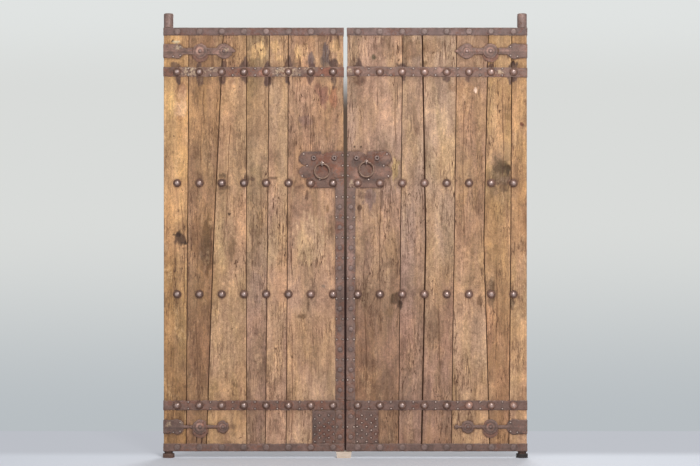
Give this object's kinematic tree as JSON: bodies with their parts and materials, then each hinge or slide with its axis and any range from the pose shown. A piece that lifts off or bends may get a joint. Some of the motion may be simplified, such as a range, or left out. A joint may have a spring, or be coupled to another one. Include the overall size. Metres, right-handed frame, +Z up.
{
  "type": "iron-bound timber courtyard gate",
  "caption": "Two old plank gate leaves on pivot pins, bound with forged iron straps, dome studs, lobed lock plates and ring pulls.",
  "frame": {"origin": "on the floor, midway between the leaves, at the middle of the boards' thickness", "axes": "+X to the right seen from outside, +Y inwards, the way the leaves open, +Z up"},
  "size_m": [2.196, 0.135, 2.67],
  "materials": {
    "board_wood": "weathered, unpainted",
    "stile_wood": "weathered, unpainted",
    "batten_wood": "weathered, unpainted",
    "pale_wood": "raw, sawn",
    "rusty_iron": "rusted, rough",
    "stud_iron": "worn, satin",
    "cup_iron": "dark, rough"
  },
  "bodies": {
    "root": {"centre_block": "pale_wood", "left_pivot_cup": "cup_iron", "right_pivot_cup": "cup_iron"},
    "left_leaf": {"left_second_board": "board_wood", "left_third_board": "board_wood", "left_fourth_board": "board_wood", "left_fifth_board": "board_wood", "left_meeting_board": "board_wood", "left_hanging_stile": "stile_wood", "left_bottom_batten": "batten_wood", "left_lower_batten": "batten_wood", "left_upper_batten": "batten_wood", "left_top_batten": "batten_wood", "left_top_strap": "rusty_iron", "left_bottom_strap": "rusty_iron", "left_lower_stud_strap": "rusty_iron", "left_upper_stud_strap": "rusty_iron", "left_edge_strap": "rusty_iron", "left_lock_plate": "rusty_iron", "left_corner_plate": "rusty_iron", "left_top_ornament": "rusty_iron", "left_bottom_ornament": "rusty_iron", "left_backing_discs": "rusty_iron", "left_nails": "rusty_iron", "left_tacks": "rusty_iron", "left_bosses": "rusty_iron", "left_ring_eye": "rusty_iron", "left_top_pin_sleeve": "rusty_iron", "left_bottom_pin_shoe": "rusty_iron", "left_dome_studs": "stud_iron"},
    "left_ring": {"left_ring_pull": "stud_iron"},
    "right_leaf": {"right_second_board": "board_wood", "right_third_board": "board_wood", "right_fourth_board": "board_wood", "right_fifth_board": "board_wood", "right_meeting_board": "board_wood", "right_hanging_stile": "stile_wood", "right_bottom_batten": "batten_wood", "right_lower_batten": "batten_wood", "right_upper_batten": "batten_wood", "right_top_batten": "batten_wood", "right_top_strap": "rusty_iron", "right_bottom_strap": "rusty_iron", "right_lower_stud_strap": "rusty_iron", "right_upper_stud_strap": "rusty_iron", "right_edge_strap": "rusty_iron", "right_lock_plate": "rusty_iron", "right_corner_plate": "rusty_iron", "right_top_ornament": "rusty_iron", "right_bottom_ornament": "rusty_iron", "right_backing_discs": "rusty_iron", "right_nails": "rusty_iron", "right_tacks": "rusty_iron", "right_bosses": "rusty_iron", "right_ring_eye": "rusty_iron", "right_top_pin_sleeve": "rusty_iron", "right_bottom_pin_shoe": "rusty_iron", "right_dome_studs": "stud_iron"},
    "right_ring": {"right_ring_pull": "stud_iron"}
  },
  "joints": [
    {"name": "left_leaf_swing", "type": "hinge", "parent": "root", "child": "left_leaf", "pos_m": [-1.063, 0, 0.02], "axis": [0, 0, 1], "range_deg": [0, 95]},
    {"name": "left_ring_swing", "type": "hinge", "parent": "left_leaf", "child": "left_ring", "pos_m": [-0.139, -0.0485, 1.7655], "axis": [-1, 0, 0], "range_deg": [0, 150]},
    {"name": "right_leaf_swing", "type": "hinge", "parent": "root", "child": "right_leaf", "pos_m": [1.063, 0, 0.02], "axis": [0, 0, -1], "range_deg": [0, 95]},
    {"name": "right_ring_swing", "type": "hinge", "parent": "right_leaf", "child": "right_ring", "pos_m": [0.126, -0.0485, 1.7755], "axis": [-1, 0, 0], "range_deg": [0, 150]}
  ]
}
